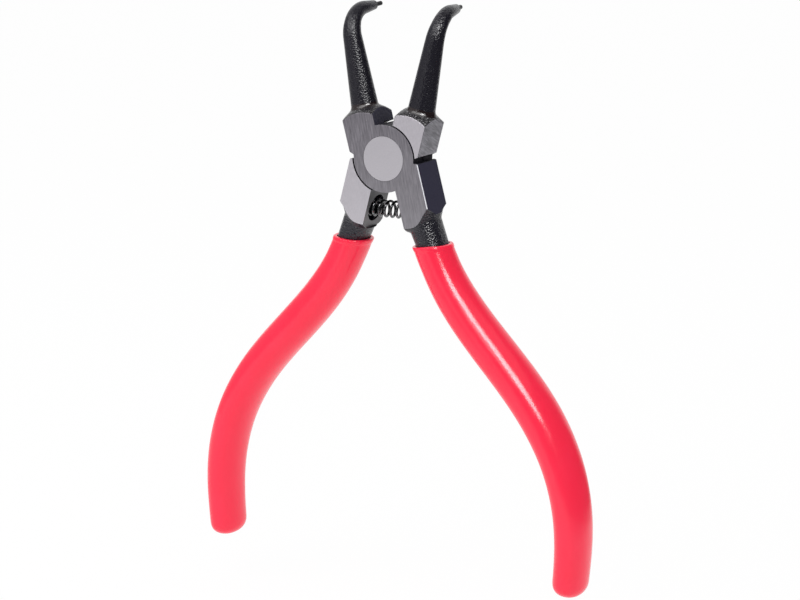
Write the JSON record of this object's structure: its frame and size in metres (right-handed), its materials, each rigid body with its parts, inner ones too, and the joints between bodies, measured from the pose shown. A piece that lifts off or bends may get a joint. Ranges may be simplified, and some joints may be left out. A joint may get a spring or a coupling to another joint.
{
  "type": "circlip pliers",
  "caption": "Hand pliers for internal circlips: jaws bent through a right angle with steel tip pins, lap joint on a flush rivet, opening spring and dipped grips.",
  "frame": {"origin": "centre of the rivet's front face, in the plane of the ground front faces", "axes": "+X across the handles towards the front half's handle, +Y from the front plate to the back plate, +Z from the rivet up to the jaws; shown open, with each half turned 15 degrees from closed"},
  "size_m": [0.0994, 0.0187, 0.1288],
  "materials": {
    "forged_steel": "black oxide forging with the head's faces ground bright",
    "ground_rivet": "ground flush, satin",
    "spring_wire": "black spring wire",
    "pin_steel": "hardened, dark",
    "red_vinyl": "dip-coated vinyl, glossy"
  },
  "bodies": {
    "back_arm": {"back_half": "forged_steel", "back_grip": "red_vinyl", "back_tip_pin": "pin_steel", "pivot_rivet": "ground_rivet"},
    "front_arm": {"front_half": "forged_steel", "front_grip": "red_vinyl", "front_tip_pin": "pin_steel"},
    "spring": {"opening_spring": "spring_wire"}
  },
  "joints": [
    {"name": "jaw_pivot", "type": "hinge", "parent": "back_arm", "child": "front_arm", "pos_m": [0, 0.0045, 0], "axis": [0, 1, 0], "range_deg": [-5, 30], "stiffness_Nm_per_rad": 0.3, "deforming": ["opening_spring"]},
    {"name": "spring_follow", "type": "hinge", "parent": "back_arm", "child": "spring", "pos_m": [0, 0.0045, 0], "axis": [0, 1, 0], "range_deg": [-2.5, 15]}
  ],
  "couplings": [
    {"joint": "spring_follow", "follows": "jaw_pivot", "ratio": 0.5}
  ]
}
